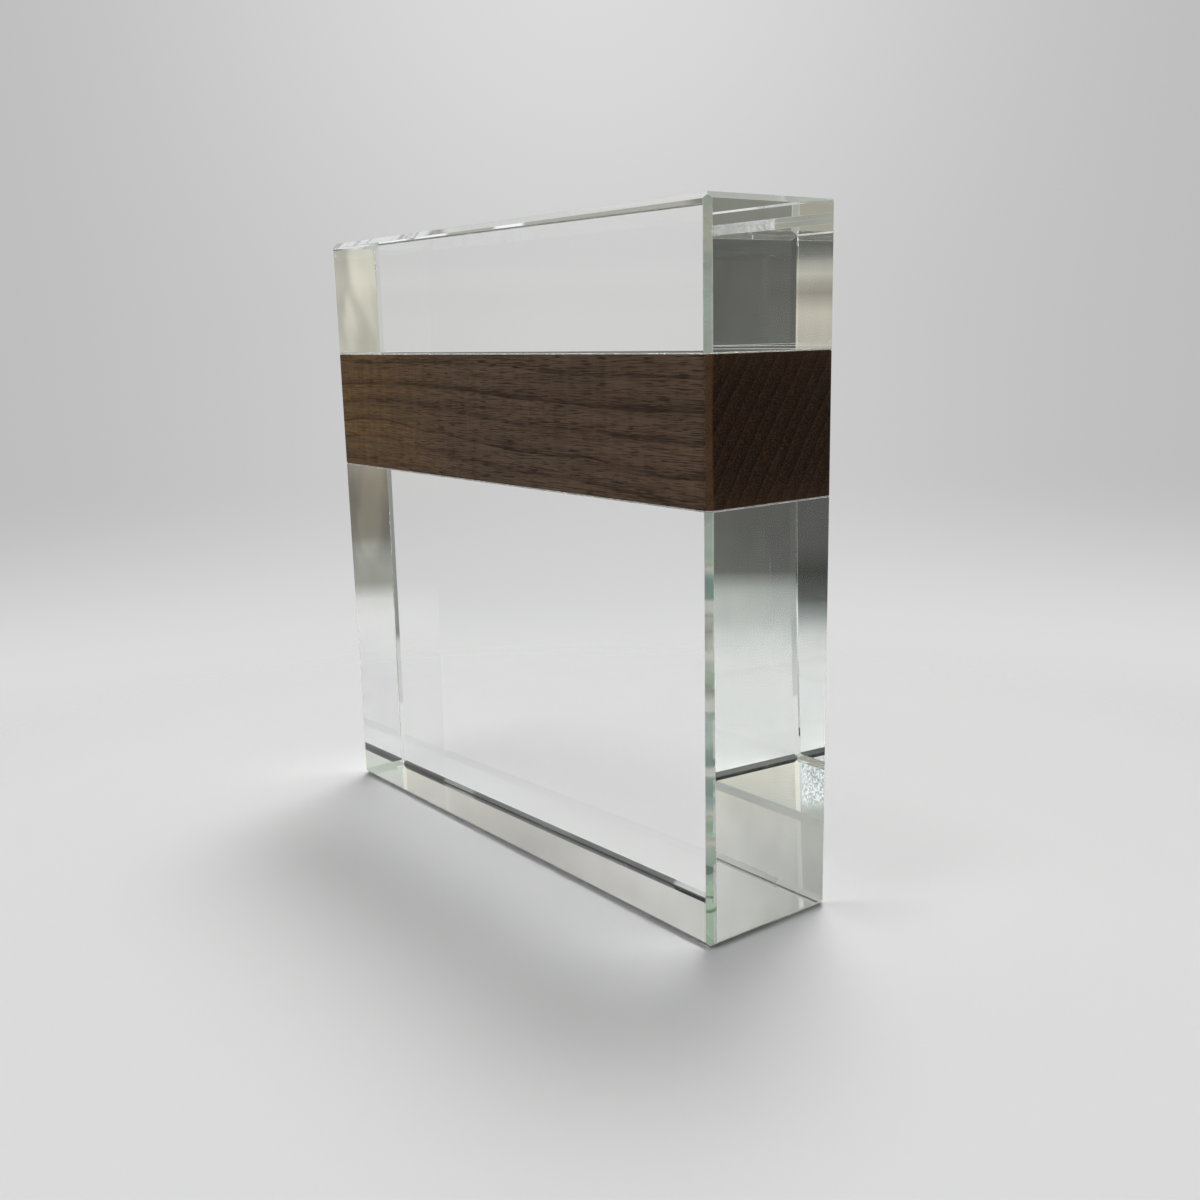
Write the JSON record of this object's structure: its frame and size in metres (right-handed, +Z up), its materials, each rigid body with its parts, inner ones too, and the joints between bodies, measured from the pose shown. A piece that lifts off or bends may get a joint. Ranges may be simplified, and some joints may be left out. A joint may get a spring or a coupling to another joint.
{
  "type": "crystal photo block",
  "caption": "Upright clear crystal photo block for a desk or shelf, with a walnut bar bonded between a tall lower crystal and a short upper one.",
  "frame": {"origin": "centre of the underside, on the surface that the block stands on", "axes": "+Z up, +X along the block's width, to the right of someone who faces its front, and -Y out of the wide front face"},
  "size_m": [0.15, 0.035, 0.15],
  "materials": {
    "crystal": "polished optical crystal with ground and polished bevels",
    "glue": "clear cured adhesive, wiped flush at the joint",
    "walnut": "smooth sanded and oiled, grain along the bar"
  },
  "bodies": {
    "root": {"lower_crystal": "crystal", "lower_glue_film": "glue", "walnut_bar": "walnut", "upper_glue_film": "glue", "upper_crystal": "crystal"}
  },
  "joints": []
}
